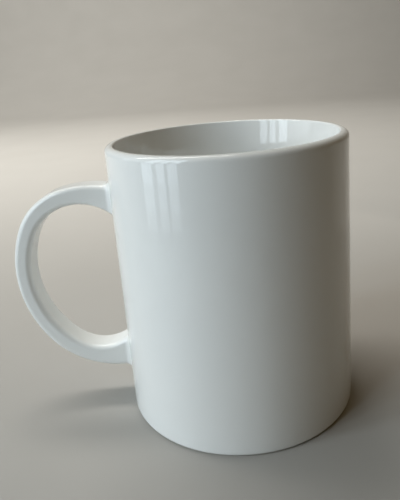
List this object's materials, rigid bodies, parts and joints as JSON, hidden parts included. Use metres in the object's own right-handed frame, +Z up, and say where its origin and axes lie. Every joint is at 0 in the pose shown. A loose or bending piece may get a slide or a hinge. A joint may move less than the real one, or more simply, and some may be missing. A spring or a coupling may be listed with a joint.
{
  "type": "mug",
  "caption": "Straight-sided white glazed ceramic mug with a rounded lip, a C-shaped strap handle and a bare foot ring.",
  "frame": {"origin": "on the cup's axis, in the plane of the foot ring that rests on the table", "axes": "+Z up along the cup's axis, the handle towards -X, +Y to the right of the handle seen from outside it"},
  "size_m": [0.1198, 0.082, 0.096],
  "materials": {
    "fired_clay": "matte unglazed",
    "fired_slip": "matte unglazed",
    "white_glaze": "clear gloss"
  },
  "bodies": {
    "root": {"cup_body": "fired_clay", "handle": "fired_clay", "upper_slip_joint": "fired_slip", "lower_slip_joint": "fired_slip", "cup_glaze": "white_glaze", "handle_glaze": "white_glaze", "base_glaze": "white_glaze"}
  },
  "joints": []
}
